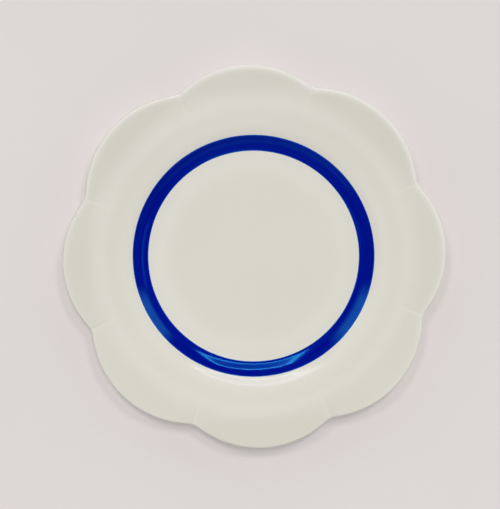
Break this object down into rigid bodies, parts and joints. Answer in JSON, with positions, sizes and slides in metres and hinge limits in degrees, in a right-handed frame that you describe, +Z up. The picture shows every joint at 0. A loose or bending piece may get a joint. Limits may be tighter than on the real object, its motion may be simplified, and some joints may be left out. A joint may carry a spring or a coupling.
{
  "type": "scalloped dessert plate",
  "caption": "Round glazed porcelain dessert plate with a petal-shaped flared rim, a flat well ringed by a blue band, and a foot ring it rests on.",
  "frame": {"origin": "centre of the foot's sole, on the plane the plate stands on", "axes": "+Z up, out of the plate's face; +X through the middle of a petal"},
  "size_m": [0.22, 0.22, 0.0188],
  "materials": {
    "bare_porcelain": "fired, unglazed and slightly gritty, seen only on the foot's sole",
    "white_glaze": "smooth, glossy, warm white",
    "cobalt_blue": "glossy, deep cobalt blue"
  },
  "bodies": {
    "root": {"porcelain_body": "bare_porcelain", "face_glaze": "white_glaze", "foot_glaze": "white_glaze", "blue_band": "cobalt_blue"}
  },
  "joints": []
}
